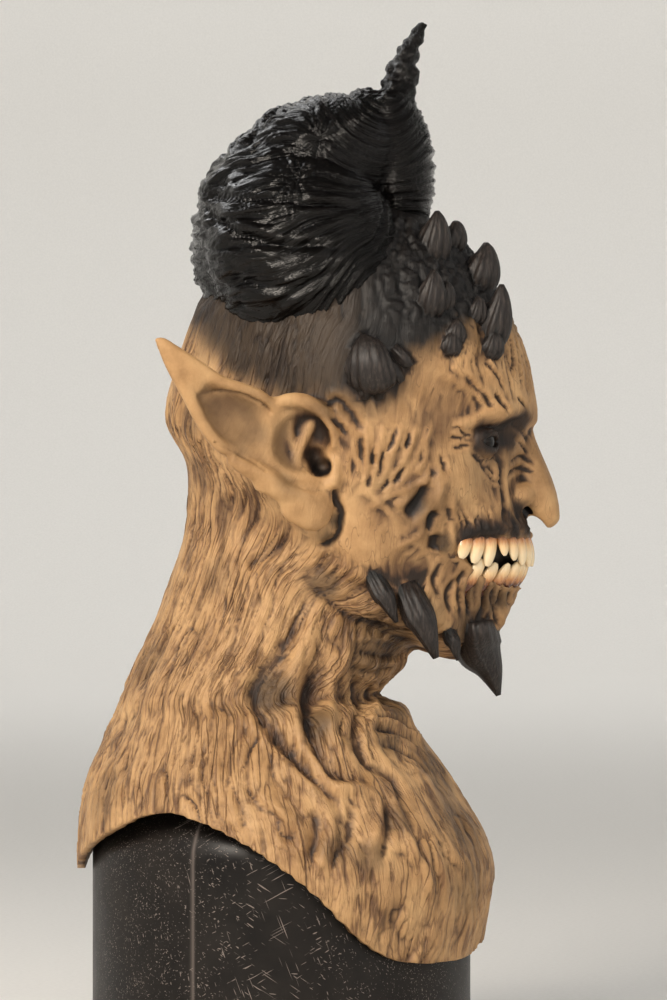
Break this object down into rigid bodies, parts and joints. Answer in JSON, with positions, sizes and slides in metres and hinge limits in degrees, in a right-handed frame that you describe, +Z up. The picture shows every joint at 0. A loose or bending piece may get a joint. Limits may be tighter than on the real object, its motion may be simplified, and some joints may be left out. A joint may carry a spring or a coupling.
{
  "type": "silicone demon mask",
  "caption": "Full-head soft mask of a wrinkled demon with pointed ears, bared teeth, horn knobs and a glossy black topknot, hung over a plain round column.",
  "frame": {"origin": "middle of the column's flat foot", "axes": "+Z up, the face looks along -Y, the wearer's right side is at -X; the part is symmetric about the plane x = 0"},
  "size_m": [0.2607, 0.2988, 0.6437],
  "materials": {
    "painted_silicone": "soft satin silicone, tan with brown and charcoal washes in the folds",
    "wet_black_hair": "high gloss black, like wet wound hair",
    "tooth_ivory": "glossy ivory with orange brown roots",
    "dark_eye": "clear gloss over near black",
    "black_column": "scuffed semi-gloss black"
  },
  "bodies": {
    "root": {"mask_skin": "painted_silicone", "topknot": "wet_black_hair", "upper_teeth": "tooth_ivory", "lower_teeth": "tooth_ivory", "eye_right": "dark_eye", "eye_left": "dark_eye", "display_stand": "black_column"}
  },
  "joints": []
}
